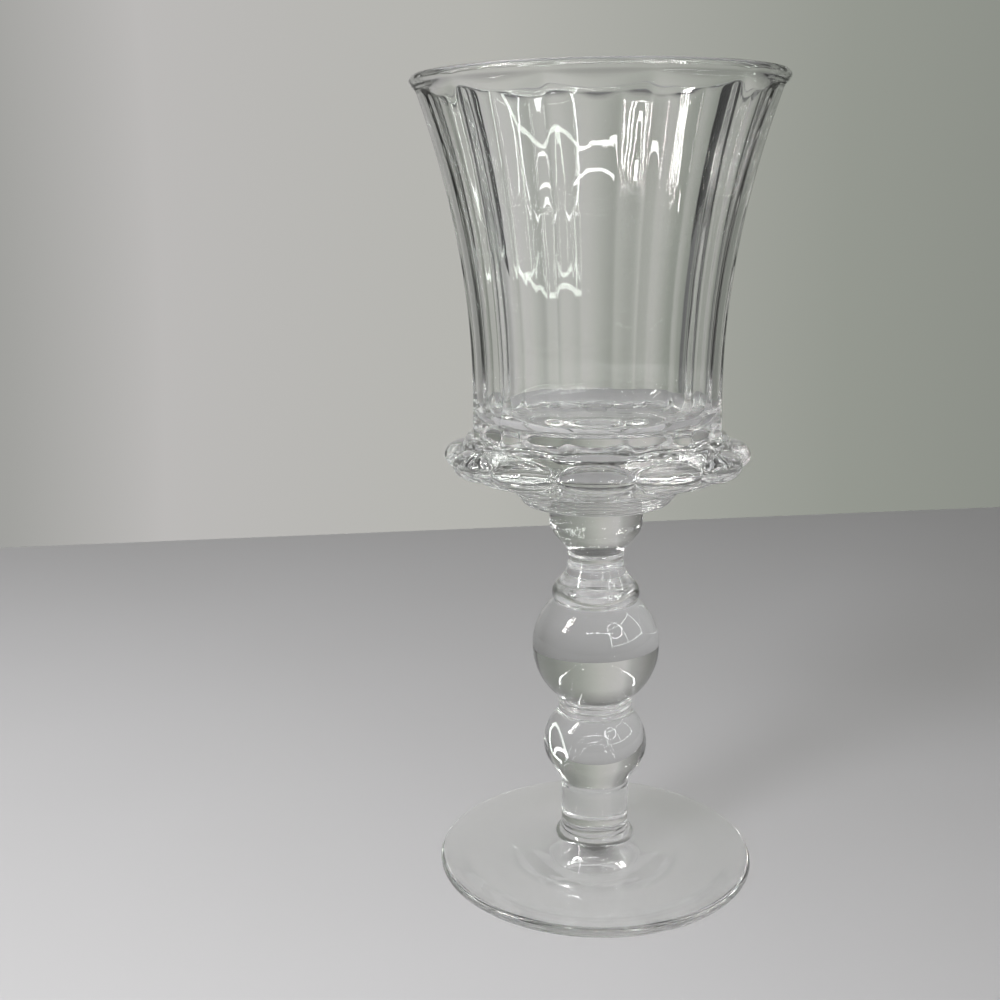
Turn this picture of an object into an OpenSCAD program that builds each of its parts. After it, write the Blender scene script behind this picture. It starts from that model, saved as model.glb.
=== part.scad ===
// Water goblet: a flared panelled bowl on a beaded collar, a knopped stem and a round foot.
// Millimetres, Z up. The origin is the middle of the ring that the foot rests on.

/* [Foot] */
// Radius of the foot
foot_r = 38; // [30:0.5:48]
// Thickness of the foot at its rounded edge
foot_edge_t = 2.5; // [1.5:0.1:4]
// Rise of the foot from its edge to the stem
foot_rise = 4.9; // [3:0.1:7]
// Radius of the shallow hollow under the foot
foot_hollow_r = 31; // [24:0.5:32]
// Depth of the hollow under the foot
foot_hollow_depth = 0.8; // [0.4:0.1:1.6]

/* [Post] */
// Radius of the plain post above the foot
post_r = 8.1; // [6:0.1:10]
// Height of the post
post_h = 12.2; // [9:0.1:20]
// Radius of the curve where the post spreads into the foot
post_flare_r = 2.2; // [1.2:0.1:4]

/* [Baluster knop] */
// Widest radius of the baluster knop
baluster_r = 12.4; // [10.5:0.1:16]
// Height of the baluster below its widest place
baluster_lower_h = 10.9; // [8:0.1:14]
// Height of the baluster above its widest place
baluster_upper_h = 8.2; // [6:0.1:11]
// Radius of the baluster's belly below its widest place
baluster_belly_r = 7.5; // [5.5:0.1:9]
// Height of the straight cuff under the baluster
baluster_cuff_h = 1.4; // [0.6:0.1:2.4]

/* [Lower neck] */
// Outer radius of the fine rings between baluster and ball
lower_neck_r = 8.9; // [7:0.1:10.2]
// Height of one fine ring of the lower neck
lower_neck_ring_h = 1.45; // [1:0.05:2]
// Number of fine rings of the lower neck
lower_neck_rings = 3; // [2:1:5]

/* [Ball knop] */
// Radius of the ball knop
ball_r = 15.1; // [12.6:0.1:19]

/* [Ring knop] */
// Widest radius of the broad ring on the ball
ring_r = 10.35; // [8.5:0.1:12.4]
// Height of the broad ring
ring_h = 3.5; // [2.5:0.1:5]
// Radius of the edge curve of the broad ring
ring_edge_r = 3; // [2.6:0.1:4]
// Radius of the step above the broad ring
step_r = 7.75; // [6.8:0.05:9.4]
// Height of that step
step_h = 3; // [2:0.1:4.5]
// Radius of the slim neck under the cup
neck_r = 6.3; // [5:0.1:7.6]
// Height of the slim neck
neck_h = 5.4; // [4:0.1:8]
// Height of one fine ridge on the slim neck
neck_ridge_h = 1.5; // [1:0.1:2]
// How far the ridges stand out of the slim neck
neck_ridge_out = 0.35; // [0.2:0.05:0.6]

/* [Cup knop] */
// Radius of the cup-shaped knop
cup_r = 10.9; // [9:0.1:13]
// Height of its conical lower half, up to the middle of the shoulder
cup_lower_h = 7.3; // [6:0.1:9]
// Height of its straight upper half
cup_upper_h = 4.6; // [3:0.1:7]
// Radius of its rounded shoulder
cup_shoulder_r = 5; // [3.5:0.1:5.9]

/* [Wafer plate] */
// Radius of the lowest ring of the stepped plate
plate_r = 17.6; // [14.5:0.1:21]
// How far each ring of the plate stands out beyond the one below
plate_step = 0.63; // [0.3:0.01:0.8]
// Height of one ring of the plate
plate_ring_h = 0.95; // [0.7:0.05:1.3]
// Number of rings of the plate
plate_rings = 4; // [3:1:6]

/* [Beaded collar] */
// Number of beads round the collar
beads = 12; // [8:2:18]
// Half the width of a bead, from the middle of its section to its tip
bead_r = 5; // [4.4:0.1:5.8]
// Height of a bead at its middle
bead_h = 6.8; // [5.6:0.1:8.2]
// How far the bead tips stand out beyond the edge of the disc behind them
bead_out = 3.9; // [3.2:0.1:4.6]
// How far the rounded edge between the beads stands out beyond the flat top
collar_bulge = 1.4; // [0.8:0.1:2]
// Height of the collar above the beads
collar_crown = 1.1; // [0.6:0.1:2]
// Height of the collar below the middle of the beads
collar_lower_h = 7.3; // [6:0.1:9]
// Length of a petal under the collar, from the plate outwards
petal_l = 10; // [8:0.1:11.2]
// Width of a petal
petal_w = 9.4; // [7.5:0.1:11]
// How far a petal bulges out of the underside
petal_out = 0.8; // [0.4:0.1:1.1]

/* [Bowl] */
// Number of panels round the bowl, an even number
panels = 12; // [8:2:18]
// Radius to the middle of a panel at the waist of the bowl
bowl_r = 27.8; // [24:0.1:33]
// Outer radius of the rim
rim_r = 41; // [34:0.1:49]
// Height of the bowl above the collar
bowl_h = 78.8; // [65:0.5:94]
// Height of the waist, where the bowl is slimmest
waist_h = 10; // [5:0.5:16]
// Thickness of the wall in the middle of a panel at the waist
bowl_wall = 2.4; // [1.8:0.1:3.4]
// Thickness of the floor of the bowl
bowl_floor = 3; // [2:0.1:5]
// Radius of the corner between floor and wall inside
floor_corner_r = 6; // [3:0.1:9]
// Thickness of the rounded rim
rim_t = 3.2; // [2.8:0.1:3.8]
// How far the middle of a panel lies inside the rim
panel_inset = 1.6; // [1.6:0.1:2]
// How far the heel of the bowl stands out on the collar
heel_out = 0.6; // [0.4:0.1:1.2]
// Height of the sloping heel
heel_h = 1.2; // [0.8:0.1:2]

/* [Hidden] */
// Smoothness of circles, and of the long arcs of the flare
$fn = 144;
flare_fn = 900;
// Overrun for cuts that pass through a face
over = 1;
// Part of the hollow under the foot that is flat
hollow_flat_share = 0.7;
// Heights of the joints, from the table up
post_z = foot_edge_t + foot_rise;
baluster_z = post_z + post_h;
belly_z = baluster_z + baluster_lower_h;
lower_neck_z = belly_z + baluster_upper_h;
lower_neck_h = lower_neck_rings * lower_neck_ring_h;
ball_z = lower_neck_z + lower_neck_h;
// The ball is cut where the neck below and the ring above meet it
ball_seat_r = lower_neck_r;
ball_lower_h = sqrt(pow(ball_r, 2) - pow(ball_seat_r, 2));
ring_base_r = ring_r - ring_edge_r + sqrt(pow(ring_edge_r, 2) - pow(ring_h / 2, 2));
ball_upper_h = sqrt(pow(ball_r, 2) - pow(ring_base_r, 2));
ball_mid_z = ball_z + ball_lower_h;
ring_z = ball_mid_z + ball_upper_h;
step_z = ring_z + ring_h;
neck_z = step_z + step_h;
cup_z = neck_z + neck_h;
cup_mid_z = cup_z + cup_lower_h;
plate_z = cup_mid_z + cup_upper_h;
plate_h = plate_rings * plate_ring_h;
plate_top_r = plate_r + (plate_rings - 1) * plate_step;
collar_z = plate_z + plate_h;
bead_z = collar_z + collar_lower_h;
collar_upper_h = bead_h / 2 + collar_crown;
bowl_z = bead_z + collar_upper_h;
// Bowl: each panel is one hollow arc, slimmest at the waist. Half of the lip's thickness is
// the radius of its round section, and the wall inside trims a little off it
lip_r = rim_t / 2;
lip_mid_h = bowl_h - lip_r;
lip_trim_share = 0.1;
panel_rim_r = rim_r - panel_inset;
inner_r = bowl_r - bowl_wall;
inner_rim_r = rim_r - rim_t * (1 - lip_trim_share);
inner_start_h = bowl_floor + floor_corner_r;
panel_arc_r = arc_radius(lip_mid_h - waist_h, panel_rim_r - bowl_r);
inner_arc_r = arc_radius(lip_mid_h - inner_start_h, inner_rim_r - inner_r);
panel_base_r = bowl_r + panel_arc_r - sqrt(pow(panel_arc_r, 2) - pow(waist_h, 2));
bowl_corner_r = panel_base_r / cos(180 / panels);
heel_top_share = 0.98;
heel_low_r = bowl_corner_r + heel_out;
heel_top_r = bowl_r * heel_top_share;
// Collar: the flat top is a little wider than the heel, and the edge bulges out from it
collar_ledge = 0.2;
edge_top_r = heel_low_r + collar_ledge;
collar_edge_r = edge_top_r + collar_bulge;
edge_arc_r = arc_radius(collar_upper_h, collar_bulge);
edge_low_share = 0.88;
edge_low_h = bead_h / 2 * edge_low_share;
edge_low_r = collar_edge_r - edge_arc_r + sqrt(pow(edge_arc_r, 2) - pow(edge_low_h, 2));
// Beads: egg shapes that lie along the edge and run into each other at the ends
bead_ring_r = collar_edge_r + bead_out - bead_r;
bead_length_share = 1.03;
bead_half_l = bead_ring_r * tan(180 / beads) * bead_length_share;
// Underside of the collar, a cone from the plate up to the edge
under_run = edge_low_r - plate_top_r;
under_rise = collar_lower_h - edge_low_h;
under_tilt = atan2(under_rise, under_run);
// Petals: egg shapes, half sunk in the underside, less tilted than the cone
petal_mid_share = 0.55;
petal_tilt_share = 0.4;
petal_mid_r = plate_top_r + under_run * petal_mid_share;
petal_mid_z = collar_z + under_rise * petal_mid_share + petal_out;

// A disc of the given radius and height with a half-round edge, from height zero up
module soft_disc(r, h) {
    rotate_extrude() {
        square([r - h / 2, h]);
        intersection() {
            translate([r - h / 2, h / 2]) circle(r = h / 2);
            square([r, h]);
        }
    }
}

// Radius of an arc that leaves a straight line and is out from it at the given length
function arc_radius(length, out) = (pow(length, 2) + pow(out, 2)) / (2 * out);

// The point where a line from a point below touches the circle of a belly
function touch_angle(from_r, from_z, mid_r, mid_z, r) =
    atan2(from_z - mid_z, from_r - mid_r)
    + acos(r / norm([from_r - mid_r, from_z - mid_z]));

// A belly: straight side, then a cone that touches the circle of radius r, to its middle
module belly_outline(low_r, cuff_h, wide_r, mid_h, r) {
    a = touch_angle(low_r, cuff_h, wide_r - r, mid_h, r);
    touch = [wide_r - r + r * cos(a), mid_h + r * sin(a)];
    polygon([[0, 0], [low_r, 0], [low_r, cuff_h], touch, [wide_r - r, mid_h], [0, mid_h]]);
    intersection() {
        translate([wide_r - r, mid_h]) circle(r = r);
        translate([0, touch[1]]) square([wide_r, mid_h - touch[1]]);
    }
}

module foot() color([0.86, 0.9, 0.89, 0.45]) {
    edge_r = foot_edge_t / 2;
    difference() {
        rotate_extrude() {
            translate([foot_r - edge_r, edge_r]) circle(r = edge_r);
            polygon([[0, 0], [foot_r - edge_r, 0], [foot_r - edge_r, foot_edge_t],
                [post_r + post_flare_r, post_z], [0, post_z]]);
        }
        cylinder(h = foot_hollow_depth, r1 = foot_hollow_r,
            r2 = foot_hollow_r * hollow_flat_share);
    }
}

module post() color([0.86, 0.9, 0.89, 0.45])
    translate([0, 0, post_z])
        rotate_extrude() {
            square([post_r, post_h]);
            difference() {
                square([post_r + post_flare_r, post_flare_r]);
                translate([post_r + post_flare_r, post_flare_r]) circle(r = post_flare_r);
            }
        }

module baluster_knop() color([0.86, 0.9, 0.89, 0.45])
    translate([0, 0, baluster_z])
        rotate_extrude() {
            belly_outline(post_r, baluster_cuff_h, baluster_r, baluster_lower_h,
                baluster_belly_r);
            upper_in = baluster_r - lower_neck_r;
            upper_r = arc_radius(baluster_upper_h, upper_in);
            intersection() {
                translate([baluster_r - upper_r, baluster_lower_h]) circle(r = upper_r);
                translate([0, baluster_lower_h]) square([baluster_r, baluster_upper_h]);
            }
        }

module lower_neck() color([0.86, 0.9, 0.89, 0.45])
    translate([0, 0, lower_neck_z])
        for (i = [0 : lower_neck_rings - 1])
            translate([0, 0, i * lower_neck_ring_h])
                soft_disc(lower_neck_r, lower_neck_ring_h);

module ball_knop() color([0.86, 0.9, 0.89, 0.45])
    translate([0, 0, ball_mid_z])
        rotate_extrude()
            intersection() {
                circle(r = ball_r);
                translate([0, -ball_lower_h]) square([ball_r, ball_lower_h + ball_upper_h]);
            }

module ring_knop() color([0.86, 0.9, 0.89, 0.45]) {
    translate([0, 0, ring_z]) {
        rotate_extrude() {
            square([ring_r - ring_edge_r, ring_h]);
            intersection() {
                translate([ring_r - ring_edge_r, ring_h / 2]) circle(r = ring_edge_r);
                square([ring_r, ring_h]);
            }
        }
        translate([0, 0, ring_h]) soft_disc(step_r, step_h);
    }
    translate([0, 0, neck_z]) {
        cylinder(h = neck_h, r = neck_r);
        for (h = [0, neck_h - neck_ridge_h])
            translate([0, 0, h]) soft_disc(neck_r + neck_ridge_out, neck_ridge_h);
    }
}

module cup_knop() color([0.86, 0.9, 0.89, 0.45])
    translate([0, 0, cup_z])
        rotate_extrude() {
            belly_outline(neck_r, 0, cup_r, cup_lower_h, cup_shoulder_r);
            translate([0, cup_lower_h]) square([cup_r, cup_upper_h]);
        }

module wafer_plate() color([0.86, 0.9, 0.89, 0.45])
    translate([0, 0, plate_z])
        for (i = [0 : plate_rings - 1])
            translate([0, 0, i * plate_ring_h])
                soft_disc(plate_r + i * plate_step, plate_ring_h);

module bead_collar() color([0.86, 0.9, 0.89, 0.45]) {
    edge_mid_r = collar_edge_r - edge_arc_r;
    edge_h = edge_low_h + collar_upper_h;
    translate([0, 0, bead_z])
        rotate_extrude() {
            polygon([[0, -collar_lower_h], [plate_top_r, -collar_lower_h],
                [edge_low_r, -edge_low_h], [edge_mid_r, 0], [edge_mid_r, collar_upper_h],
                [0, collar_upper_h]]);
            intersection() {
                translate([edge_mid_r, 0]) circle(r = edge_arc_r);
                translate([edge_mid_r, -edge_low_h]) square([edge_arc_r, edge_h]);
            }
        }
    for (i = [0 : beads - 1])
        rotate([0, 0, i * 360 / beads]) {
            translate([bead_ring_r, 0, bead_z])
                scale([bead_r, bead_half_l, bead_h / 2]) sphere(r = 1);
            translate([petal_mid_r, 0, petal_mid_z])
                rotate([0, -under_tilt * petal_tilt_share, 0])
                    scale([petal_l / 2, petal_w / 2, 2 * petal_out]) sphere(r = 1);
        }
}

// The outline across two opposite panels, slimmest at the waist
module panel_outline()
    difference() {
        translate([-rim_r, 0]) square([2 * rim_r, lip_mid_h]);
        for (s = [-1, 1])
            translate([s * (bowl_r + panel_arc_r), waist_h])
                circle(r = panel_arc_r, $fn = flare_fn);
    }

// Half the outline of the space inside the bowl
module inner_outline() {
    square_r = inner_r - floor_corner_r;
    translate([0, bowl_floor]) square([square_r, floor_corner_r]);
    intersection() {
        translate([square_r, inner_start_h]) circle(r = floor_corner_r);
        translate([square_r, bowl_floor]) square([floor_corner_r, floor_corner_r]);
    }
    difference() {
        translate([0, inner_start_h]) square([inner_rim_r, lip_mid_h - inner_start_h]);
        translate([inner_r + inner_arc_r, inner_start_h])
            circle(r = inner_arc_r, $fn = flare_fn);
    }
    translate([0, lip_mid_h]) square([inner_rim_r, lip_r + over]);
}

module bowl() color([0.86, 0.9, 0.89, 0.45])
    translate([0, 0, bowl_z])
        difference() {
            union() {
                intersection_for (i = [0 : panels / 2 - 1])
                    rotate([90, 0, i * 360 / panels])
                        translate([0, 0, -rim_r])
                            linear_extrude(height = 2 * rim_r) panel_outline();
                rotate_extrude()
                    translate([rim_r - lip_r, lip_mid_h]) circle(r = lip_r);
                cylinder(h = heel_h, r1 = heel_low_r, r2 = heel_top_r);
            }
            rotate_extrude() inner_outline();
        }

foot();
post();
baluster_knop();
lower_neck();
ball_knop();
ring_knop();
cup_knop();
wafer_plate();
bead_collar();
bowl();
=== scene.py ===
import math

import bmesh
import bpy
from mathutils import Matrix, Vector, noise


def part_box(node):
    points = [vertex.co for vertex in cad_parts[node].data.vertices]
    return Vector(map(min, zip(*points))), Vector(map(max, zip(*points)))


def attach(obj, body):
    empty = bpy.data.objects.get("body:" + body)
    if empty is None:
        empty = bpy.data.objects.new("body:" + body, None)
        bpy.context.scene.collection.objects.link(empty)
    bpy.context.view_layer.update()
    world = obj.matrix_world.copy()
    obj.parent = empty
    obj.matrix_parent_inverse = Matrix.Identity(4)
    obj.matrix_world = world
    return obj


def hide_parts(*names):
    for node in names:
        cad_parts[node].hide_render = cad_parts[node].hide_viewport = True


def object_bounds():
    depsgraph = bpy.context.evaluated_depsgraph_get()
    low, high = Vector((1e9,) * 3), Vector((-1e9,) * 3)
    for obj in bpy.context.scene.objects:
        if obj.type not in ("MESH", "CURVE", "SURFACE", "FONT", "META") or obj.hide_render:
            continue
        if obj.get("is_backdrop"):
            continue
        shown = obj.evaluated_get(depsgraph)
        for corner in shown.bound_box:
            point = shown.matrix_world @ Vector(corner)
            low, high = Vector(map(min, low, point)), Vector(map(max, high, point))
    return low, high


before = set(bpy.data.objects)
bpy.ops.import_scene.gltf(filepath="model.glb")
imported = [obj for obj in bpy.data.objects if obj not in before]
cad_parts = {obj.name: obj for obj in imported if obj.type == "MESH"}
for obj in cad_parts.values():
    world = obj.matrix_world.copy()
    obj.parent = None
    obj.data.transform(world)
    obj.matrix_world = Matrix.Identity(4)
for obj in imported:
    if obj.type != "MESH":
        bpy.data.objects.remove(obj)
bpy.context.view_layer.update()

# ---------------------------------------------------------------- sizes, in millimetres
MM = 0.001

FOOT_R = 38.0
FOOT_EDGE_T = 2.5
FOOT_HOLLOW_R = 31.0
FOOT_HOLLOW_DEPTH = 0.8
# Fine grooves in the rest ring: where each starts, is deepest and ends
FOOT_GROOVES = 3
FOOT_GROOVE_DEPTH = 0.05
FOOT_GROOVE_START = 0.35
FOOT_GROOVE_MIDDLE = 0.6
FOOT_GROOVE_PITCH = 0.9
HOLLOW_FLAT_SHARE = 0.7

POST_R = 8.1
POST_FLARE_R = 2.2
POST_ROUND_R = 2.6
POST_GROOVE = 0.3

BALUSTER_R = 12.4
BALUSTER_LOWER_H = 10.9
BALUSTER_BELLY_R = 7.5
BALUSTER_CUFF_H = 1.4

LOWER_NECK_R = 8.9
LOWER_NECK_RINGS = 3

BALL_R = 15.1

RING_R = 10.35
RING_H = 3.5
RING_EDGE_R = 3.0
RING_TOP_ANGLE = 50.0
# Points (r, height above the ring) up the flare between the ring and the neck
NECK_FLARE = ((9.0, 0.72), (8.85, 0.9), (8.0, 2.15), (7.75, 2.4), (7.0, 3.6), (6.6, 4.6))
NECK_R = 6.3
NECK_RIDGE_H = 1.5
NECK_RIDGE_OUT = 0.35

CUP_R = 10.9
CUP_LOWER_H = 7.3
CUP_SHOULDER_R = 5.0

PLATE_R = 17.6
PLATE_STEP = 0.63
PLATE_RINGS = 4
PLATE_SHOULDER_R = 1.5
PLATE_FINE_RINGS = 3

BEADS = 12
BEAD_R = 5.0
BEAD_H = 6.8
BEAD_OUT = 3.9
COLLAR_BULGE = 1.4
COLLAR_LEDGE = 0.2
COLLAR_LOWER_H = 7.3
EDGE_LOW_SHARE = 0.12
PETAL_L = 10.4
PETAL_W = 10.2
PETAL_OUT = 1.5
PETAL_MID_SHARE = 0.48
PETAL_TILT_SHARE = 0.65
PETAL_FULLNESS = 2.8

PANELS = 12
BOWL_R = 27.8
RIM_R = 41.0
WAIST_H = 10.0
BOWL_WALL = 2.4
BOWL_FLOOR = 3.0
FLOOR_CORNER_R = 6.0
RIM_T = 3.2
LIP_T = 2.6
LIP_SPREAD = 50.0
PANEL_INSET = 1.6
HEEL_OUT = 0.6
HEEL_H = 1.2
HEEL_TOP_SHARE = 0.98

# Softness of the creases that the heat of the mould and the flame leaves
STEM_CREASE = 0.22
COLLAR_CREASE = 0.35
COLLAR_FACE_CREASE = COLLAR_CREASE / 3
HEEL_CREASE = 0.5
LIP_CREASE = 1.2
PANEL_SHARPNESS = 100.0
# How far the surface wanders from the true form, and over what length
WANDER = 0.035
WANDER_LENGTH = 13.0
# It fades out towards the axis and towards the table
WANDER_FADE_R = 5.0
WANDER_FADE_Z = 2.0

# Divisions of the meshes: angles in degrees, lengths in millimetres
ARC_STEP = 2.0
STEM_COLUMNS = 144
SECTOR_COLUMNS = 12
FINE_STEP = 0.1
BELL_WIDTH = 3
ROW_TURN = 5.0
ROW_MIN = 0.17
ROW_MAX = 1.6
COLLAR_ROWS = 84
HEEL_ROWS = (0.18, 0.36, 0.54, 0.72, 0.9, 1.1, 1.35, 1.7, 2.1, 2.6, 3.3)
WALL_ROWS = 44
LIP_ROWS = 20
LIP_ROWS_H = 5.4
LIP_STEP = 12
INSIDE_ROWS = 50
CORNER_SKIP = 4
FLOOR_SHARES = (0.8, 0.6, 0.4, 0.2)

# How the collar's skin is searched for, along lines from a point inside it
SEARCH_PLACE = (5.0, 0.6)
SEARCH_FROM = 20.0
SEARCH_TO = 0.2
SEARCH_STEP = 0.3
SEARCH_HALVINGS = 12


def box_z(node):
    """Lowest and highest level of a CAD node, in millimetres."""
    low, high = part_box(node)
    return low[2] / MM, high[2] / MM


FOOT_Z, POST_Z = box_z("foot")
BALUSTER_Z, LOWER_NECK_Z = box_z("baluster_knop")
BALL_Z, RING_Z = box_z("ball_knop")
CUP_Z, PLATE_Z = box_z("cup_knop")
COLLAR_Z, BOWL_Z = box_z("bead_collar")
RIM_Z = box_z("bowl")[1]


# ---------------------------------------------------------------- outlines, as points (r, z)
def polar(middle, radius, angle):
    turn = math.radians(angle)
    return (middle[0] + radius * math.cos(turn), middle[1] + radius * math.sin(turn))


def arc(middle, radius, start, end):
    """Points of an arc, with angles in degrees from the outward direction."""
    count = max(4, math.ceil(abs(end - start) / ARC_STEP))
    return [polar(middle, radius, start + (end - start) * i / count) for i in range(count + 1)]


def arc_radius(length, out):
    """Radius of an arc that leaves a straight line and is out from it at the given length."""
    return (length * length + out * out) / (2 * out)


def half_round(flat_r, low_z, high_z):
    """The rounded edge of a disc whose flat faces end at flat_r."""
    half = (high_z - low_z) / 2
    return arc((flat_r, low_z + half), half, -90, 90)


def belly(low_r, low_z, wide_r, wide_z, radius):
    """A cone from a point below that runs into the round of a belly, up to its widest place."""
    middle = (wide_r - radius, wide_z)
    rise, run = low_z - middle[1], low_r - middle[0]
    touch = math.degrees(math.atan2(rise, run) + math.acos(radius / math.hypot(rise, run)))
    return [(low_r, low_z)] + arc(middle, radius, touch, 0)


def post_round():
    """Middle of the round between foot and post, where it starts and where the joint is."""
    edge = FOOT_EDGE_T / 2
    slope = math.atan2(POST_Z - FOOT_EDGE_T, FOOT_R - edge - POST_R - POST_FLARE_R)
    mid_r = POST_R + POST_ROUND_R
    touch_r = mid_r - POST_ROUND_R * math.sin(slope)
    touch_z = POST_Z - (touch_r - POST_R - POST_FLARE_R) * math.tan(slope)
    mid_z = touch_z + POST_ROUND_R * math.cos(slope)
    joint = math.degrees(math.asin((mid_z - POST_Z) / POST_ROUND_R))
    return (mid_r, mid_z), -90 - math.degrees(slope), joint - 180


def foot_grooves():
    """Fine grooves round the inner side of the rest ring."""
    points = []
    for i in range(FOOT_GROOVES):
        r = FOOT_HOLLOW_R + FOOT_GROOVE_PITCH * i
        points += [(r + FOOT_GROOVE_START, FOOT_Z),
                   (r + FOOT_GROOVE_MIDDLE, FOOT_Z + FOOT_GROOVE_DEPTH),
                   (r + FOOT_GROOVE_PITCH, FOOT_Z)]
    return points


def foot_outline():
    edge = FOOT_EDGE_T / 2
    middle, start, joint = post_round()
    return (
        [(0, FOOT_HOLLOW_DEPTH), (FOOT_HOLLOW_R * HOLLOW_FLAT_SHARE, FOOT_HOLLOW_DEPTH),
         (FOOT_HOLLOW_R, FOOT_Z)]
        + foot_grooves()
        + half_round(FOOT_R - edge, FOOT_Z, FOOT_EDGE_T)
        + arc(middle, POST_ROUND_R, start, joint)
    )


def post_outline():
    middle, _, joint = post_round()
    return arc(middle, POST_ROUND_R, joint, -180) + [(POST_R, BALUSTER_Z)]


def ring_flat_r():
    """Where the flat faces of the lower neck's rings end."""
    return LOWER_NECK_R - (BALL_Z - LOWER_NECK_Z) / LOWER_NECK_RINGS / 2


def baluster_outline():
    wide_z = BALUSTER_Z + BALUSTER_LOWER_H
    upper_h = LOWER_NECK_Z - wide_z
    upper_r = arc_radius(upper_h, BALUSTER_R - LOWER_NECK_R)
    end = math.degrees(math.asin(upper_h / upper_r))
    return (
        [(POST_R, BALUSTER_Z), (POST_R, BALUSTER_Z + BALUSTER_CUFF_H / 3),
         (POST_R - POST_GROOVE, BALUSTER_Z + BALUSTER_CUFF_H * 2 / 3)]
        + belly(POST_R - POST_GROOVE, BALUSTER_Z + BALUSTER_CUFF_H, BALUSTER_R, wide_z,
                BALUSTER_BELLY_R)
        + arc((BALUSTER_R - upper_r, wide_z), upper_r, 0, end)
        + [(ring_flat_r(), LOWER_NECK_Z)]
    )


def lower_neck_outline():
    ring_h = (BALL_Z - LOWER_NECK_Z) / LOWER_NECK_RINGS
    points = []
    for i in range(LOWER_NECK_RINGS):
        low = LOWER_NECK_Z + i * ring_h
        points += half_round(ring_flat_r(), low, low + ring_h)
    return points


def ball_outline():
    lower = math.acos(LOWER_NECK_R / BALL_R)
    middle = (0, BALL_Z + BALL_R * math.sin(lower))
    upper = math.asin((RING_Z - middle[1]) / BALL_R)
    return [(ring_flat_r(), BALL_Z)] + arc(
        middle, BALL_R, -math.degrees(lower), math.degrees(upper))


def ring_outline():
    """The ring on the ball, the flare above it in fine steps, and the neck between two ridges."""
    top_z = RING_Z + RING_H
    edge = math.degrees(math.asin(RING_H / 2 / RING_EDGE_R))
    half = NECK_RIDGE_H / 2
    ridge_mid_r = NECK_R + NECK_RIDGE_OUT - half
    ridge = math.degrees(math.acos((NECK_R - ridge_mid_r) / half))
    flare = [(r, top_z + h) for r, h in NECK_FLARE]
    return (
        arc((RING_R - RING_EDGE_R, RING_Z + RING_H / 2), RING_EDGE_R, -edge, RING_TOP_ANGLE)
        + flare
        + arc((ridge_mid_r, flare[-1][1] + half), half, -ridge, ridge)
        + arc((ridge_mid_r, CUP_Z - half), half, -ridge, ridge)
        + [(NECK_R, CUP_Z)]
    )


def cup_outline():
    return belly(NECK_R, CUP_Z, CUP_R, CUP_Z + CUP_LOWER_H, CUP_SHOULDER_R) + [(CUP_R, PLATE_Z)]


def plate_top_r():
    return PLATE_R + (PLATE_RINGS - 1) * PLATE_STEP


def plate_outline():
    """A flat face below, a round shoulder and fine rings that step out to the collar."""
    top_r = plate_top_r()
    shoulder_z = PLATE_Z + PLATE_SHOULDER_R
    ring_h = (COLLAR_Z - shoulder_z) / PLATE_FINE_RINGS
    points = [(CUP_R, PLATE_Z)]
    points += arc((PLATE_R - PLATE_SHOULDER_R, shoulder_z), PLATE_SHOULDER_R, -90, 0)
    for i in range(PLATE_FINE_RINGS):
        low = shoulder_z + i * ring_h
        r = PLATE_R + (top_r - PLATE_R) * (i + 1) / PLATE_FINE_RINGS
        points += half_round(r - ring_h / 2, low, low + ring_h)
    return points


def evenly(points, step):
    """The same line with a point at every step along it."""
    line, carried = [points[0]], 0.0
    for a, b in zip(points, points[1:]):
        length = math.dist(a, b)
        if length == 0:
            continue
        at = step - carried
        while at < length:
            share = at / length
            line.append((a[0] + (b[0] - a[0]) * share, a[1] + (b[1] - a[1]) * share))
            at += step
        carried = length - (at - step)
    line.append(points[-1])
    return line


def softened(line, reach):
    """The line with its creases melted by a bell curve of the given reach, its ends held."""
    spread = reach / FINE_STEP
    width = math.ceil(BELL_WIDTH * spread)
    bell = [math.exp(-0.5 * (k / spread) ** 2) for k in range(-width, width + 1)]
    total, last, out = sum(bell), len(line) - 1, []
    for i in range(len(line)):
        r = z = 0.0
        for k, weight in enumerate(bell):
            j = i + k - width
            near = line[min(max(j, 0), last)]
            if 0 <= j <= last:
                point = near
            else:
                far = line[-j] if j < 0 else line[2 * last - j]
                point = (2 * near[0] - far[0], 2 * near[1] - far[1])
            r += weight * point[0]
            z += weight * point[1]
        out.append((r / total, z / total))
    return out


def thinned(line):
    """Fewer rows: one at each small turn of the line, or after a long straight stretch."""
    rows, turn, run = [line[0]], 0.0, 0.0
    heading = None
    for a, b in zip(line, line[1:]):
        now = math.atan2(b[1] - a[1], b[0] - a[0])
        if heading is not None:
            turn += abs(math.remainder(now - heading, math.tau))
        heading = now
        run += math.dist(a, b)
        if run >= ROW_MAX or (run >= ROW_MIN and math.degrees(turn) >= ROW_TURN):
            rows.append(b)
            turn = run = 0.0
    if math.dist(rows[-1], line[-1]) < ROW_MIN / 2:
        rows.pop()
    rows.append(line[-1])
    return rows


def stem_rows():
    """The rows of every turned piece, from one softened outline that is cut at the joints."""
    outlines = {
        "foot": foot_outline(), "post": post_outline(), "baluster_knop": baluster_outline(),
        "lower_neck": lower_neck_outline(), "ball_knop": ball_outline(),
        "ring_knop": ring_outline(), "cup_knop": cup_outline(), "wafer_plate": plate_outline(),
    }
    line, ends = [], {}
    for name, points in outlines.items():
        piece = evenly(points, FINE_STEP)
        line += piece if not line else piece[1:]
        ends[name] = len(line) - 1
    line = softened(line, STEM_CREASE)
    rows, start = {}, 0
    for name, end in ends.items():
        rows[name] = thinned(line[start:end + 1])
        start = end
    return rows


# ---------------------------------------------------------------- collar
def rounded_min(a, b, reach):
    near = max(reach - abs(a - b), 0.0) / reach
    return min(a, b) - near * near * reach / 4


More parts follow.
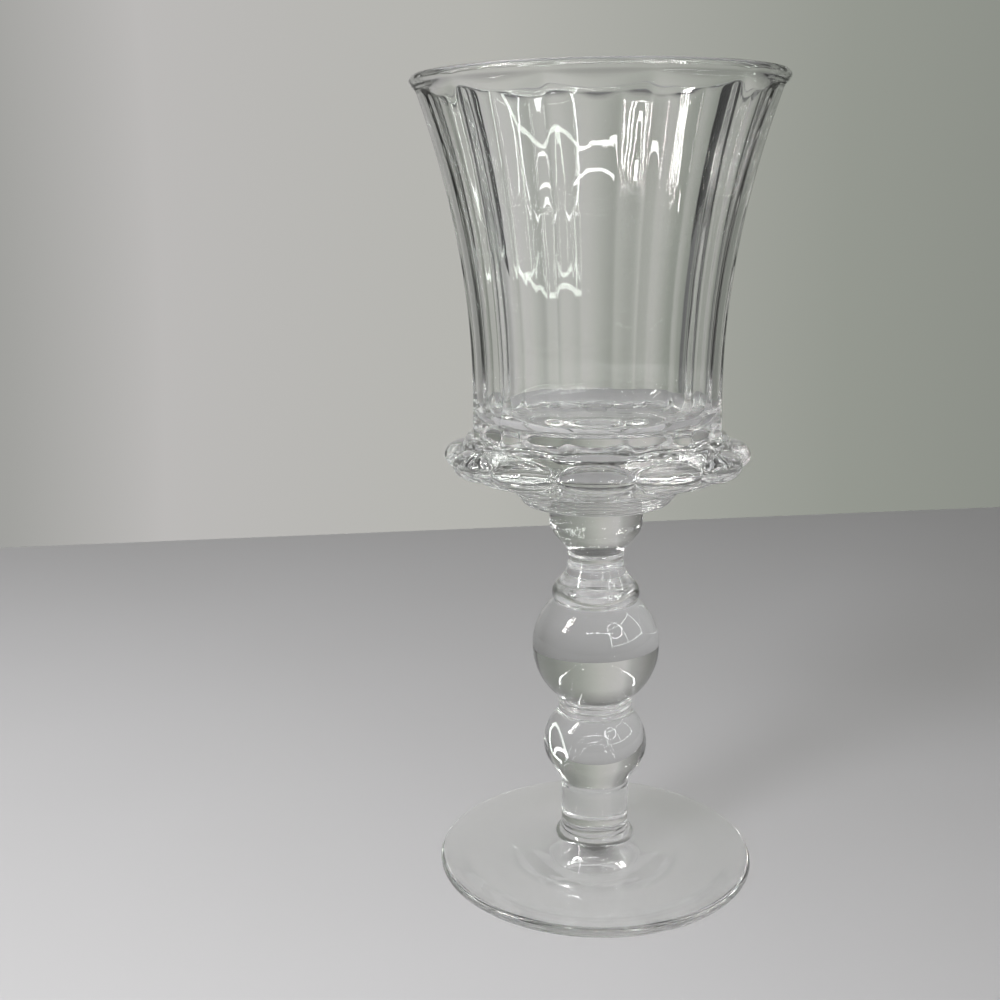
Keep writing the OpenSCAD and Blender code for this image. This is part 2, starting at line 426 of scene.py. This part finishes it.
def rounded_max(a, b, reach):
    return -rounded_min(-a, -b, reach)


def egg(place, half, fullness=2.0):
    """Distance to an egg shape with the three half sizes, near enough close to its skin.

    A fullness above 2 fills the shape out towards a cushion.
    """
    shares = [abs(p) / h for p, h in zip(place, half)]
    near = sum(q ** fullness for q in shares) ** (1 / fullness)
    if near == 0:
        return -min(half)
    steep = math.sqrt(sum(((q / near) ** (fullness - 1) / h) ** 2 for q, h in zip(shares, half)))
    return (near - 1) / steep


class Collar:
    """The beaded collar as a distance from its skin, in one section at a time."""

    def __init__(self):
        self.bead_z = COLLAR_Z + COLLAR_LOWER_H
        self.heel_r = panel_base_r() / math.cos(math.pi / PANELS) + HEEL_OUT
        self.edge_r = self.heel_r + COLLAR_LEDGE + COLLAR_BULGE
        self.edge_arc_r = arc_radius(BOWL_Z - self.bead_z, COLLAR_BULGE)
        self.plate_r = plate_top_r()
        low_h = BEAD_H / 2 * EDGE_LOW_SHARE
        low_r = self.edge_r - self.edge_arc_r + math.sqrt(self.edge_arc_r ** 2 - low_h ** 2)
        run, rise = low_r - self.plate_r, COLLAR_LOWER_H - low_h
        self.tilt = math.atan2(rise, run)
        self.bead_mid_r = self.edge_r + BEAD_OUT - BEAD_R
        tangent = self.bead_mid_r * math.tan(math.pi / BEADS)
        self.bead_half = (BEAD_R, tangent, BEAD_H / 2)
        self.petal_mid = (self.plate_r + run * PETAL_MID_SHARE,
                          COLLAR_Z + rise * PETAL_MID_SHARE + PETAL_OUT)
        self.petal_half = (PETAL_L / 2, PETAL_W / 2, 2 * PETAL_OUT)

    def disc(self, r, z):
        """Distance from the plain disc without its beads and petals."""
        edge = math.hypot(max(r - self.edge_r + self.edge_arc_r, 0.0), z - self.bead_z)
        cone = (math.sin(self.tilt) * (r - self.plate_r)
                - math.cos(self.tilt) * (z - COLLAR_Z))
        side = rounded_max(edge - self.edge_arc_r, cone, COLLAR_CREASE)
        return rounded_max(rounded_max(side, z - BOWL_Z, COLLAR_FACE_CREASE),
                           COLLAR_Z - z, COLLAR_FACE_CREASE)

    def skin(self, r, turn, z):
        """Distance from the skin at radius r, at an angle turn from the middle of a bead."""
        far = self.disc(r, z)
        lean = self.tilt * PETAL_TILT_SHARE
        eggs = []
        for sector in (0.0, math.tau / BEADS):
            x, y = r * math.cos(turn - sector), r * math.sin(turn - sector)
            eggs.append(egg((x - self.bead_mid_r, y, z - self.bead_z), self.bead_half))
            dx, dz = x - self.petal_mid[0], z - self.petal_mid[1]
            out = dx * math.cos(lean) + dz * math.sin(lean)
            down = dz * math.cos(lean) - dx * math.sin(lean)
            eggs.append(egg((out, y, down), self.petal_half, PETAL_FULLNESS))
        for d in eggs:
            far = rounded_min(far, d, COLLAR_CREASE)
        return far

    def skin_at(self, turn, eye, angle):
        """The point of the skin seen from a place inside, in one direction of the section."""
        step_r, step_z = math.cos(angle), math.sin(angle)

        def outside(reach):
            return self.skin(eye[0] + reach * step_r, turn, eye[1] + reach * step_z) > 0

        outer = SEARCH_FROM
        while outer > SEARCH_TO and outside(outer):
            outer -= SEARCH_STEP
        inner, outer = outer, outer + SEARCH_STEP
        for _ in range(SEARCH_HALVINGS):
            mid = (inner + outer) / 2
            if outside(mid):
                outer = mid
            else:
                inner = mid
        return (eye[0] + inner * step_r, eye[1] + inner * step_z)

    def section(self, turn, start, end):
        """Points of the skin in one section, from the joint below to the joint above."""
        eye = (self.plate_r + SEARCH_PLACE[0], self.bead_z + SEARCH_PLACE[1])
        first = math.atan2(start[1] - eye[1], start[0] - eye[0])
        last = math.atan2(end[1] - eye[1], end[0] - eye[0])
        angles = [first + (last - first) * i / COLLAR_ROWS for i in range(1, COLLAR_ROWS)]
        return [start] + [self.skin_at(turn, eye, angle) for angle in angles] + [end]


# ---------------------------------------------------------------- bowl
def panel_arc_r():
    return arc_radius(RIM_Z - RIM_T / 2 - BOWL_Z - WAIST_H, RIM_R - PANEL_INSET - BOWL_R)


def panel_r(height):
    """Radius to the middle of a panel at a height above the collar."""
    arc_r = panel_arc_r()
    return BOWL_R + arc_r - math.sqrt(arc_r ** 2 - (height - WAIST_H) ** 2)


def panel_base_r():
    return panel_r(0)


def panel_share(turn):
    """How much further out a panelled side is at this angle from a panel's middle."""
    total = 0.0
    for k in (-1, 0, 1):
        total += max(math.cos(turn - k * math.tau / PANELS), 0.0) ** PANEL_SHARPNESS
    return total ** (-1 / PANEL_SHARPNESS)


def lip_flare(down):
    """Radius of the round lip and of the cone under it, this far below the middle of the lip."""
    lip_r = LIP_T / 2
    spread = math.radians(LIP_SPREAD)
    if down < lip_r * math.sin(spread):
        return RIM_R - lip_r + math.sqrt(lip_r ** 2 - down ** 2)
    return (RIM_R - lip_r + lip_r * math.cos(spread)
            - math.tan(spread) * (down - lip_r * math.sin(spread)))


def bowl_section(turn, start):
    """Points (r, z) up the outside, over the lip, down the inside and along the floor."""
    lip_r = LIP_T / 2
    lip_h = RIM_Z - lip_r - BOWL_Z
    share = panel_share(turn)
    outside = [start]
    heel_top = HEEL_ROWS[-1]
    wall_top = lip_h - LIP_ROWS_H
    wall = [heel_top + (wall_top - heel_top) * i / WALL_ROWS for i in range(1, WALL_ROWS + 1)]
    for h in [*HEEL_ROWS, *wall]:
        r = panel_r(h) * share
        if h < 2 * HEEL_H:
            heel = start[0] - (start[0] - BOWL_R * HEEL_TOP_SHARE) * h / HEEL_H
            r = rounded_max(r, heel, HEEL_CREASE)
        outside.append((r, BOWL_Z + h))
    # Under the lip the wall runs out into its flare
    for i in range(1, LIP_ROWS + 1):
        down = (lip_h - wall_top) * (1 - i / LIP_ROWS)
        r = rounded_max(panel_r(lip_h - down) * share, lip_flare(down), LIP_CREASE)
        outside.append((min(r, RIM_R), BOWL_Z + lip_h - down))
    over = [polar((RIM_R - lip_r, BOWL_Z + lip_h), lip_r, angle)
            for angle in range(LIP_STEP, 180, LIP_STEP)]
    inner_r, inner_h = BOWL_R - BOWL_WALL, BOWL_FLOOR + FLOOR_CORNER_R
    inner_rim_r = RIM_R - LIP_T
    arc_r = arc_radius(lip_h - inner_h, inner_rim_r - inner_r)
    inside = []
    for i in range(INSIDE_ROWS):
        h = lip_h - (lip_h - inner_h) * i / INSIDE_ROWS
        inside.append((inner_r + arc_r - math.sqrt(arc_r ** 2 - (h - inner_h) ** 2), BOWL_Z + h))
    corner = arc((inner_r - FLOOR_CORNER_R, BOWL_Z + inner_h), FLOOR_CORNER_R, 0, -90)
    corner = corner[::CORNER_SKIP]
    floor = [(corner[-1][0] * s, BOWL_Z + BOWL_FLOOR) for s in FLOOR_SHARES]
    return outside + over + inside + corner + floor


# ---------------------------------------------------------------- meshes
def wander(point):
    """How far the hand-worked surface is out from its true form here."""
    place = Vector(point) / WANDER_LENGTH
    return WANDER * noise.noise(place)


def placed(r, z, turn):
    """A point of the wandering surface, in metres."""
    point = (r * math.cos(turn), r * math.sin(turn), z)
    if r > 0:
        r += wander(point) * min(1.0, r / WANDER_FADE_R) * min(1.0, z / WANDER_FADE_Z)
    return (r * math.cos(turn) * MM, r * math.sin(turn) * MM, z * MM)


def mesh_piece(name, mesh, *finishes):
    """An object in the scene from a worked mesh, with its materials in slot order."""
    data = bpy.data.meshes.new(name)
    mesh.to_mesh(data)
    mesh.free()
    for finish in finishes:
        data.materials.append(finish)
    piece = bpy.data.objects.new(name, data)
    bpy.context.scene.collection.objects.link(piece)
    return piece


def closed_skin(name, rings, low, top, glass, joint):
    """A closed mesh from rings of points. low and top say what closes it: glass or joint."""
    mesh = bmesh.new()
    rows = [[mesh.verts.new(p) for p in ring] for ring in rings]
    count = len(rows[0])
    for a, b in zip(rows, rows[1:]):
        for i in range(count):
            j = (i + 1) % count
            mesh.faces.new((a[i], a[j], b[j], b[i]))
    for ring, kind, upward in ((rows[0], low, False), (rows[-1], top, True)):
        middle = mesh.verts.new((0.0, 0.0, ring[0].co.z))
        for i in range(count):
            j = (i + 1) % count
            pair = (ring[i], ring[j]) if upward else (ring[j], ring[i])
            face = mesh.faces.new((middle, *pair))
            face.material_index = 1 if kind == "joint" else 0
    mesh.normal_update()
    for face in mesh.faces:
        face.smooth = True
    for edge in mesh.edges:
        sides = {face.material_index for face in edge.link_faces}
        edge.smooth = len(sides) == 1
    return mesh_piece(name, mesh, glass, joint)


def turned_rings(rows):
    turns = [math.tau * i / STEM_COLUMNS for i in range(STEM_COLUMNS)]
    return [[placed(r, z, turn) for turn in turns] for r, z in rows]


def sector_turns():
    """Angles from the middle of a bead to the notch, closer together near the notch."""
    half = math.pi / BEADS
    return [half * math.sin(math.pi / 2 * i / SECTOR_COLUMNS) for i in range(SECTOR_COLUMNS + 1)]


def sector_rings(sections):
    """Rings of points round the axis from sections of half a sector, mirrored and repeated."""
    turns = sector_turns()
    columns = []
    for k in range(BEADS):
        middle = k * math.tau / BEADS
        for i in range(SECTOR_COLUMNS, 0, -1):
            columns.append((middle - turns[i], sections[i]))
        for i in range(SECTOR_COLUMNS):
            columns.append((middle + turns[i], sections[i]))
    rows = len(sections[0])
    return [[placed(s[i][0], s[i][1], turn) for turn, s in columns] for i in range(rows)]


# ---------------------------------------------------------------- shader maths
class Term:
    """A socket that can be used in sums."""

    def __init__(self, finish, socket):
        self.finish, self.socket = finish, socket

    def sum(self, kind, a, b):
        return self.finish.node("ShaderNodeMath", {"operation": kind}, {0: a, 1: b})

    def __add__(self, other):
        return self.sum("ADD", self, other)

    def __radd__(self, other):
        return self.sum("ADD", other, self)

    def __mul__(self, other):
        return self.sum("MULTIPLY", self, other)

    def __rmul__(self, other):
        return self.sum("MULTIPLY", other, self)


class Finish:
    """The nodes of one material or of the world."""

    def __init__(self, owner):
        self.tree = owner.node_tree
        self.tree.nodes.clear()

    def node(self, kind, settings=None, inputs=None, out=0):
        """Adds a node, sets it and its sockets, and gives its output back."""
        made = self.tree.nodes.new(kind)
        for key, value in (settings or {}).items():
            if key == "stops":
                ramp = made.color_ramp
                while len(ramp.elements) < len(value):
                    ramp.elements.new(1.0)
                for element, (place, colour) in zip(ramp.elements, value):
                    element.position = place
                    element.color = (*colour, 1.0)
            else:
                setattr(made, key, value)
        for key, value in (inputs or {}).items():
            if isinstance(value, Term):
                self.tree.links.new(value.socket, made.inputs[key])
            else:
                made.inputs[key].default_value = value
        return Term(self, made.outputs[out]) if made.outputs else None

    def surface(self, shader, kind="ShaderNodeOutputMaterial"):
        self.node(kind, {}, {"Surface": shader})

    def mix(self, share, a, b):
        return self.node("ShaderNodeMix", {"data_type": "RGBA"}, {0: share, 6: a, 7: b}, 2)


def material(name):
    made = bpy.data.materials.new(name)
    made.use_nodes = True
    return made, Finish(made)


def colour(r, g, b):
    return (r, g, b, 1.0)


NO_TINT = colour(1, 1, 1)
# Glass: its cast where it is deepest and where it is faintest, and how it bends light
CAST = (0.978, 0.986, 0.98)
FAINT_CAST = (0.99, 0.995, 0.99)
GLASS_IOR = 1.5
HAZE = 0.02
SPECK_SCALE = 420.0
SPECK_SHARE = 0.03
TURNING_PITCH = 0.55


def pressed_glass(name, shade, ripple, ripple_size, cast=CAST, turning=0.0):
    """Clear glass with the slow ripple of the mould, fine turning lines and a faint cast.

    The shade is what one face takes from the light that passes on to the table.
    """
    made, finish = material(name)
    place = finish.node("ShaderNodeTexCoord", out="Object")
    slow = finish.node("ShaderNodeTexNoise", {},
                       {"Vector": place, "Scale": 1 / (ripple_size * MM), "Detail": 1.5,
                        "Roughness": 0.4})
    fine = finish.node("ShaderNodeTexNoise", {},
                       {"Vector": place, "Scale": SPECK_SCALE, "Detail": 2.0})
    tint = finish.mix(slow, colour(*cast), colour(*FAINT_CAST))
    height = slow + fine * SPECK_SHARE
    if turning:
        level = finish.node("ShaderNodeVectorMath", {"operation": "MULTIPLY"},
                            {0: place, 1: (0.0, 0.0, 1.0)})
        lines = finish.node("ShaderNodeTexNoise", {},
                            {"Vector": level, "Scale": 1 / (TURNING_PITCH * MM), "Detail": 2.0})
        height = height + lines * turning
    wave = finish.node("ShaderNodeBump", {},
                       {"Strength": 1.0, "Distance": ripple * MM, "Height": height})
    glass = finish.node("ShaderNodeBsdfPrincipled", {},
                        {"Base Color": tint, "Roughness": fine * HAZE, "IOR": GLASS_IOR,
                         "Transmission Weight": 1.0, "Normal": wave})
    clear = finish.node("ShaderNodeBsdfTransparent", {}, {"Color": colour(*shade)})
    for path in ("Is Diffuse Ray", "Is Shadow Ray"):
        light = finish.node("ShaderNodeLightPath", out=path)
        glass = finish.node("ShaderNodeMixShader", {}, {0: light, 1: glass, 2: clear})
    finish.surface(glass)
    return made


def fused_joint():
    """Inside the glass, where two pieces were joined hot, nothing is seen."""
    made, finish = material("fused_joint")
    finish.surface(finish.node("ShaderNodeBsdfTransparent", {}, {"Color": NO_TINT}))
    return made


TABLE_TONES = ((0.47, 0.465, 0.47), (0.53, 0.525, 0.535))
TABLE_ROUGH, TABLE_ROUGH_SPREAD = 0.45, 0.1


def table_top():
    """A dull pale grey top, cloudy in tone and finely grained."""
    made, finish = material("pale_table")
    place = finish.node("ShaderNodeTexCoord", out="Object")
    cloud = finish.node("ShaderNodeTexNoise", {}, {"Vector": place, "Scale": 5.0, "Detail": 3.0})
    grain = finish.node("ShaderNodeTexNoise", {}, {"Vector": place, "Scale": 900.0})
    shade = finish.mix(cloud, *(colour(*tone) for tone in TABLE_TONES))
    bump = finish.node("ShaderNodeBump", {},
                       {"Strength": 0.2, "Distance": 0.02 * MM, "Height": grain})
    rough = cloud * TABLE_ROUGH_SPREAD + TABLE_ROUGH
    top = finish.node("ShaderNodeBsdfPrincipled", {},
                      {"Base Color": shade, "Roughness": rough, "Normal": bump})
    finish.surface(top)
    return made


# ---------------------------------------------------------------- the goblet
STEM_SHADE = (0.91, 0.91, 0.905)

joint = fused_joint()
foot_glass = pressed_glass("foot_glass", (0.985, 0.985, 0.98), ripple=0.05, ripple_size=16.0,
                           cast=(0.98, 0.987, 0.982))
turned_glass = pressed_glass("turned_glass", STEM_SHADE, ripple=0.05, ripple_size=7.0,
                             turning=0.22)
stem_glass = pressed_glass("stem_glass", STEM_SHADE, ripple=0.05, ripple_size=7.0)
collar_glass = pressed_glass("collar_glass", (0.89, 0.89, 0.885), ripple=0.10, ripple_size=3.5)
bowl_glass = pressed_glass("bowl_glass", (0.95, 0.95, 0.945), ripple=0.10, ripple_size=14.0,
                           cast=(0.98, 0.99, 0.983))
PLAIN_GLASS = {"foot": foot_glass, "ball_knop": stem_glass, "baluster_knop": stem_glass}

stem = stem_rows()
pieces = {}
for node, rows in stem.items():
    # The foot's outline starts on the axis, where its closed skin has its own middle point
    low, rows = ("glass", rows[1:]) if node == "foot" else ("joint", rows)
    glass = PLAIN_GLASS.get(node, turned_glass)
    pieces[node] = closed_skin(node + "_glass", turned_rings(rows), low, "joint", glass, joint)

collar = Collar()
plate_joint = stem["wafer_plate"][-1]
heel = (collar.heel_r, BOWL_Z)
sections = [collar.section(turn, plate_joint, heel) for turn in sector_turns()]
pieces["bead_collar"] = closed_skin(
    "bead_collar_glass", sector_rings(sections), "joint", "joint", collar_glass, joint)

sections = [bowl_section(turn, heel) for turn in sector_turns()]
pieces["bowl"] = closed_skin(
    "bowl_glass", sector_rings(sections), "joint", "glass", bowl_glass, joint)

for node, piece in pieces.items():
    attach(piece, "root")
    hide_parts(node)

# ---------------------------------------------------------------- stage
# Two points of the table's far edge, its half length and its gap under the foot, in millimetres
TABLE_BACK = ((-208.9, 291.1), (124.5, 354.6))
TABLE_REACH = 1500.0
TABLE_GAP = 0.2

# Tones of the room: the wall from left to right, what is in front and what is above
WALL_TONES = [
    (0.10, (0.17, 0.17, 0.16)), (0.29, (0.36, 0.36, 0.345)), (0.34, (0.50, 0.49, 0.48)),
    (0.46, (0.46, 0.46, 0.43)), (0.59, (0.30, 0.315, 0.28)), (0.75, (0.20, 0.21, 0.19))]
FRONT_TONE = (0.07, 0.07, 0.068)
ABOVE_TONE = (0.13, 0.13, 0.127)
BLACK, WHITE = (0.0, 0.0, 0.0), (1.0, 1.0, 1.0)
FRONT_STOPS = [(0.10, BLACK), (0.75, WHITE)]
ABOVE_STOPS = [(0.62, BLACK), (0.85, WHITE)]

# Lamps and cards stand round this point, in metres, at directions in degrees
GOBLET_MIDDLE = Vector((0.0, 0.0, 0.14))
LAMP_REACH = 0.9
CARD_REACH = 1.0
SOFT_WHITE = (1.0, 0.99, 0.97)
COOL_WHITE = (0.93, 1.0, 0.93)
TABLE_LAMP_PLACE = Vector((-0.41, -0.48, 0.48))
RING_STEPS, TUBE_STEPS = 48, 8
CARD_STEP = 10


def stage_table():
    """A pale table whose far edge runs where the photograph has the edge of the table."""
    a, b = (Vector((x, y, 0)) for x, y in TABLE_BACK)
    along = (b - a).normalized()
    toward = Vector((along.y, -along.x, 0))
    mid = (a + b) / 2
    corners = [mid - along * TABLE_REACH, mid + along * TABLE_REACH]
    corners += [corners[1] + toward * 2 * TABLE_REACH, corners[0] + toward * 2 * TABLE_REACH]
    mesh = bmesh.new()
    face = [mesh.verts.new((c.x * MM, c.y * MM, -TABLE_GAP * MM)) for c in reversed(corners)]
    mesh.faces.new(face)
    table = mesh_piece("pale_table", mesh, table_top())
    table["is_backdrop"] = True


def room():
    """A plain room all round: a pale wall behind the goblet and a dim side towards the front."""
    world = bpy.data.worlds.new("plain_room")
    world.use_nodes = True
    bpy.context.scene.world = world
    finish = Finish(world)
    place = finish.node("ShaderNodeTexCoord", out="Generated")

    def along(axis, stops):
        """A ramp by how far the direction points along one axis."""
        share = finish.node("ShaderNodeSeparateXYZ", {}, {0: place}, axis)
        return finish.node("ShaderNodeValToRGB", {"stops": stops}, {0: share * 0.5 + 0.5})

    shade = finish.mix(along("Y", FRONT_STOPS), colour(*FRONT_TONE), along("X", WALL_TONES))
    shade = finish.mix(along("Z", ABOVE_STOPS), shade, colour(*ABOVE_TONE))
    back = finish.node("ShaderNodeBackground", {}, {"Color": shade, "Strength": 1.0})
    finish.surface(back, "ShaderNodeOutputWorld")


def around(turn, rise, reach):
    """A place seen from the goblet's middle, in degrees to the right of the camera and up."""
    turn, rise = math.radians(turn), math.radians(rise)
    return Vector((math.sin(turn) * math.cos(rise), -math.cos(turn) * math.cos(rise),
                   math.sin(rise))) * reach + GOBLET_MIDDLE


def aimed(along, place):
    """Turns a flat lamp or card towards the goblet, with its length along the given line."""
    away = (place - GOBLET_MIDDLE).normalized()
    length = (along - away * along.dot(away)).normalized()
    return Matrix((length, away.cross(length), away)).transposed().to_4x4()


def standing(place, along=Vector((1, 0, 0))):
    """Where a lamp or card stands, turned towards the goblet."""
    return Matrix.Translation(place) @ aimed(along, place)


def area_light(name, shape, where):
    """A flat light that the camera doesn't see, as an object and its settings."""
    light = bpy.data.lights.new(name, "AREA")
    light.shape = shape
    made = bpy.data.objects.new(name, light)
    made.matrix_world = where
    made.visible_camera = False
    bpy.context.scene.collection.objects.link(made)
    return made, light


def lamp(name, start, end, width, glow, tone=(1.0, 1.0, 1.0)):
    """A flat lamp between two directions round the goblet, which only the glass shows."""
    a, b = around(*start, LAMP_REACH), around(*end, LAMP_REACH)
    made, light = area_light(name, "RECTANGLE", standing((a + b) / 2, b - a))
    light.size, light.size_y = (b - a).length, width
    light.energy = glow * math.pi * light.size * width
    light.color = tone
    made.visible_diffuse = False


def table_lamp(place, size, power):
    """The soft lamp that lights the table, stronger at the front left, unseen in the glass."""
    made, light = area_light("table_lamp", "DISK", standing(place))
    light.size, light.energy = size, power
    made.visible_glossy = made.visible_transmission = False


def emitter(name, glow):
    made, finish = material(name)
    finish.surface(finish.node("ShaderNodeEmission", {}, {"Color": NO_TINT, "Strength": glow}))
    return made


def unseen(piece):
    """The glass shows this piece, and the camera and the table don't."""
    piece.visible_camera = piece.visible_diffuse = piece.visible_shadow = False
    piece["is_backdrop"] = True


def ring_lamp(direction, radius, tube, glow):
    """A glowing ring that faces the goblet."""
    where = standing(around(*direction, LAMP_REACH))
    mesh = bmesh.new()
    rows = []
    for i in range(RING_STEPS):
        turn = math.tau * i / RING_STEPS
        out = Vector((math.cos(turn), math.sin(turn), 0))
        row = []
        for k in range(TUBE_STEPS):
            b = math.tau * k / TUBE_STEPS
            point = out * (radius + tube * math.cos(b)) + Vector((0, 0, tube * math.sin(b)))
            row.append(mesh.verts.new(where @ point))
        rows.append(row)
    for a, b in zip(rows, rows[1:] + rows[:1]):
        for k in range(TUBE_STEPS):
            mesh.faces.new((a[k], b[k], b[k - 1], a[k - 1]))
    unseen(mesh_piece("ring_lamp", mesh, emitter("ring_lamp", glow)))


def card_finish(name, glow, faces):
    """A dull card that shows only after so many meetings with glass, so not in plain knops."""
    made, finish = material(name)
    met = finish.node("ShaderNodeLightPath", out="Ray Depth")
    shown = finish.node("ShaderNodeMath", {"operation": "GREATER_THAN"}, {0: met, 1: faces - 0.5})
    clear = finish.node("ShaderNodeBsdfTransparent", {}, {"Color": NO_TINT})
    dull = finish.node("ShaderNodeEmission", {}, {"Color": NO_TINT, "Strength": glow})
    finish.surface(finish.node("ShaderNodeMixShader", {}, {0: shown, 1: clear, 2: dull}))
    return made


def dark_card(name, turns, rises, glow, faces):
    """A curved dark card beside the background, which draws the dark lines in the glass."""
    mesh = bmesh.new()
    steps = math.ceil((turns[1] - turns[0]) / CARD_STEP)
    rows = []
    for i in range(steps + 1):
        turn = turns[0] + (turns[1] - turns[0]) * i / steps
        rows.append([mesh.verts.new(around(turn, rise, CARD_REACH)) for rise in rises])
    for a, b in zip(rows, rows[1:]):
        mesh.faces.new((a[0], b[0], b[1], a[1]))
    unseen(mesh_piece(name, mesh, card_finish(name, glow, faces)))


# Each direction is how far it is turned to the right of the camera, and how far it rises
KEY_RISE = (20, 52)
WINDOW_TURNS = (30, 62, 102)
WINDOW_RISE = (7, 38)

stage_table()
room()
table_lamp(TABLE_LAMP_PLACE, size=0.22, power=9.3)
for turn in (-68, -72):
    lamp(f"key_tube_{-turn}", *((turn, rise) for rise in KEY_RISE), width=0.014, glow=80.0,
         tone=SOFT_WHITE)
for turn in (-61, -64):
    lamp(f"key_line_{-turn}", *((turn, rise) for rise in KEY_RISE), width=0.006, glow=50.0,
         tone=SOFT_WHITE)
for turn in WINDOW_TURNS:
    lamp(f"window_post_{turn}", *((turn, rise) for rise in WINDOW_RISE), width=0.018, glow=12.0,
         tone=COOL_WHITE)
for rise in WINDOW_RISE:
    for a, b in zip(WINDOW_TURNS, WINDOW_TURNS[1:]):
        lamp(f"window_bar_{rise}_{a}", (a, rise), (b, rise), width=0.018, glow=12.0,
             tone=COOL_WHITE)
lamp("far_tube", (-24, 31), (36, 29), width=0.012, glow=25.0)
ring_lamp((44, 34), radius=0.22, tube=0.010, glow=22.0)
dark_card("black_card_left", (-162, -153), (-6, 16), glow=0.0, faces=4)
dark_card("black_card_right", (150, 161), (-5, 16), glow=0.0, faces=4)
dark_card("grey_card_right", (151, 160), (-16, -5), glow=0.12, faces=4)
dark_card("side_card_left", (-116, -106), (-12, 45), glow=0.05, faces=1)
dark_card("side_card_right", (104, 122), (-12, 45), glow=0.03, faces=1)

# ---------------------------------------------------------------- camera
# Its place in millimetres, its angles in radians, and its lens as a share of the frame's width
CAMERA_PLACE = (0.0, -295.14, 160.95)
CAMERA_YAW, CAMERA_PITCH, CAMERA_ROLL = -0.0758, 0.2337, -0.0124
FOCAL_SHARE = 1.3017
SENSOR_WIDTH = 36.0


def photo_camera():
    """The camera where the photograph was taken from."""
    ahead = Vector((math.sin(CAMERA_YAW), math.cos(CAMERA_YAW), 0))
    right = Vector((math.cos(CAMERA_YAW), -math.sin(CAMERA_YAW), 0))
    up = Vector((0, 0, 1))
    look = ahead * math.cos(CAMERA_PITCH) - up * math.sin(CAMERA_PITCH)
    top = up * math.cos(CAMERA_PITCH) + ahead * math.sin(CAMERA_PITCH)
    level = right * math.cos(CAMERA_ROLL) + top * math.sin(CAMERA_ROLL)
    top = top * math.cos(CAMERA_ROLL) - right * math.sin(CAMERA_ROLL)
    lens = bpy.data.cameras.new("photo_camera")
    lens.sensor_width = SENSOR_WIDTH
    lens.lens = SENSOR_WIDTH * FOCAL_SHARE
    lens.clip_start, lens.clip_end = 0.01, 20.0
    camera = bpy.data.objects.new("photo_camera", lens)
    camera.matrix_world = Matrix((
        (level.x, top.x, -look.x, CAMERA_PLACE[0] * MM),
        (level.y, top.y, -look.y, CAMERA_PLACE[1] * MM),
        (level.z, top.z, -look.z, CAMERA_PLACE[2] * MM),
        (0, 0, 0, 1)))
    bpy.context.scene.collection.objects.link(camera)
    bpy.context.scene.camera = camera


photo_camera()
scene = bpy.context.scene
scene.view_settings.view_transform = "Standard"
scene.cycles.max_bounces = 32
scene.cycles.transmission_bounces = 32
scene.cycles.glossy_bounces = 12
scene.cycles.transparent_max_bounces = 64
scene.cycles.sample_clamp_indirect = 60.0

low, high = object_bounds()
